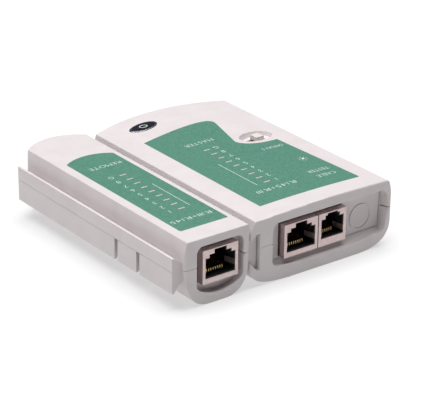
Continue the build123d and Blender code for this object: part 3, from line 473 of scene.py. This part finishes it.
def badge_surface(x):
    """Height of the badge's rim at x; the badge leans with the case's domed top."""
    lean = (master_x - badge_middle.x) / crown_radius
    return master_label_z(badge_middle.x) + badge_above_label + (x - badge_middle.x) * lean


def badge_window():
    """Dark domed window set inside the badge's silver rim and turned with it."""
    turned = Quaternion((0, 0, 1), badge_turn)
    half_length, half_width = 6.3 * MM, 2.7 * MM
    steps, rings = 64, 6
    made = bmesh.new()
    rows = []
    for ring_index in range(rings):
        reach = cos(pi / 2 * ring_index / rings)
        lift = badge_rise * sin(pi / 2 * ring_index / rings)
        row = []
        for index in range(steps):
            turn = 2 * pi * index / steps
            oval = Vector((cos(turn) * half_length * reach, sin(turn) * half_width * reach, 0))
            place = badge_middle + turned @ oval
            row.append(made.verts.new((place.x, place.y, badge_surface(place.x) + lift)))
        rows.append(row)
    bottom = [made.verts.new((v.co.x, v.co.y, v.co.z - window_depth)) for v in rows[0]]
    peak = badge_surface(badge_middle.x) + badge_rise
    top = made.verts.new((badge_middle.x, badge_middle.y, peak))
    for lower, upper in zip([bottom] + rows[:-1], rows):
        for index in range(steps):
            after = (index + 1) % steps
            made.faces.new((lower[index], lower[after], upper[after], upper[index]))
    for index in range(steps):
        made.faces.new((rows[-1][index], rows[-1][(index + 1) % steps], top))
    made.faces.new(reversed(bottom))
    for face in made.faces:
        face.smooth = True
    bmesh.ops.recalc_face_normals(made, faces=made.faces)
    return made


def badge_lacquer():
    """Near-black glossy window with a faint blue depth."""
    made = material("badge_lacquer", (0.01, 0.01, 0.016), 0.12,
                    Coat_Weight=0.8, Coat_Roughness=0.05)
    depth = noise(made, 4 * MM)
    colour_from(made, blend_colours(made, depth, (0.008, 0.008, 0.012), (0.03, 0.03, 0.045)))
    bump_from(made, noise(made, 5 * MM, 1), 0.02 * MM, 0.3)
    return made


finish_piece("badge_window", badge_window(), badge_lacquer(), "master")

badge_print = bmesh.new()
place_print(badge_print, ring(1.7 * MM, 1.15 * MM, 0.34 * MM), (badge_middle.x, badge_middle.y),
            lambda x: badge_surface(x) + badge_rise * 0.9)
finish_piece("badge_ring", badge_print, ink, "master")


# ---- studio ---------------------------------------------------------------------------
def floor():
    """Plain white floor under the object, faintly lit of itself so its shadows stay pale."""
    half = 4.0
    made = bmesh.new()
    corners = [(-half, -half), (half, -half), (half, half), (-half, half)]
    made.faces.new([made.verts.new((x, y, cad_low.z - 0.02 * MM)) for x, y in corners])
    mesh = bpy.data.meshes.new("floor")
    made.to_mesh(mesh)
    made.free()
    paper = material("white_paper", (0.42, 0.42, 0.42), 0.8,
                     Emission_Color=(1, 1, 1, 1), Emission_Strength=0.47)
    patchy = noise(paper, 0.2)
    colour_from(paper, blend_colours(paper, patchy, (0.41, 0.41, 0.41), (0.43, 0.43, 0.43)))
    mesh.materials.append(paper)
    shown = bpy.data.objects.new("floor", mesh)
    bpy.context.scene.collection.objects.link(shown)


def area_light(name, place, target, size, power, colour=(1, 1, 1)):
    """Soft rectangular light facing a target."""
    data = bpy.data.lights.new(name, "AREA")
    data.shape = "RECTANGLE"
    data.size, data.size_y = size
    data.energy = power
    data.color = colour
    lamp = bpy.data.objects.new(name, data)
    lamp.location = place
    lamp.rotation_mode = "QUATERNION"
    lamp.rotation_quaternion = (Vector(target) - Vector(place)).to_track_quat("-Z", "Y")
    bpy.context.scene.collection.objects.link(lamp)


def studio():
    """Large overhead light, a soft light from the left, and a dim even surround."""
    floor()
    area_light("overhead", (0.0, 0.16, 1.9), (0, 0, 0), (2.6, 1.6), 69)
    area_light("left_fill", (-1.6, 0.3, 0.6), (0, 0, 0.02), (1.2, 1.0), 3.0, (1.0, 0.95, 0.92))
    world = bpy.data.worlds.new("surround")
    world.use_nodes = True
    world.node_tree.nodes["Background"].inputs["Color"].default_value = (1, 1, 1, 1)
    world.node_tree.nodes["Background"].inputs["Strength"].default_value = 0.015
    bpy.context.scene.world = world
    bpy.context.scene.view_settings.view_transform = "Standard"


# ---- camera ---------------------------------------------------------------------------
def camera():
    """From the left of the ports and above, with a long lens."""
    azimuth, elevation, roll = radians(37.3), radians(24.1), radians(0.67)
    distance, focal_length = 0.773, 167.6
    aim = Vector((2.25, -7.95, 13.4)) * MM
    level = Vector((sin(azimuth), cos(azimuth), 0))
    towards = level * cos(elevation) + Vector((0, 0, -sin(elevation)))
    data = bpy.data.cameras.new("camera")
    data.lens = focal_length
    shown = bpy.data.objects.new("camera", data)
    shown.location = aim - towards * distance
    shown.rotation_mode = "QUATERNION"
    shown.rotation_quaternion = towards.to_track_quat("-Z", "Y") @ Quaternion((0, 0, 1), roll)
    bpy.context.scene.collection.objects.link(shown)
    bpy.context.scene.camera = shown


studio()
camera()
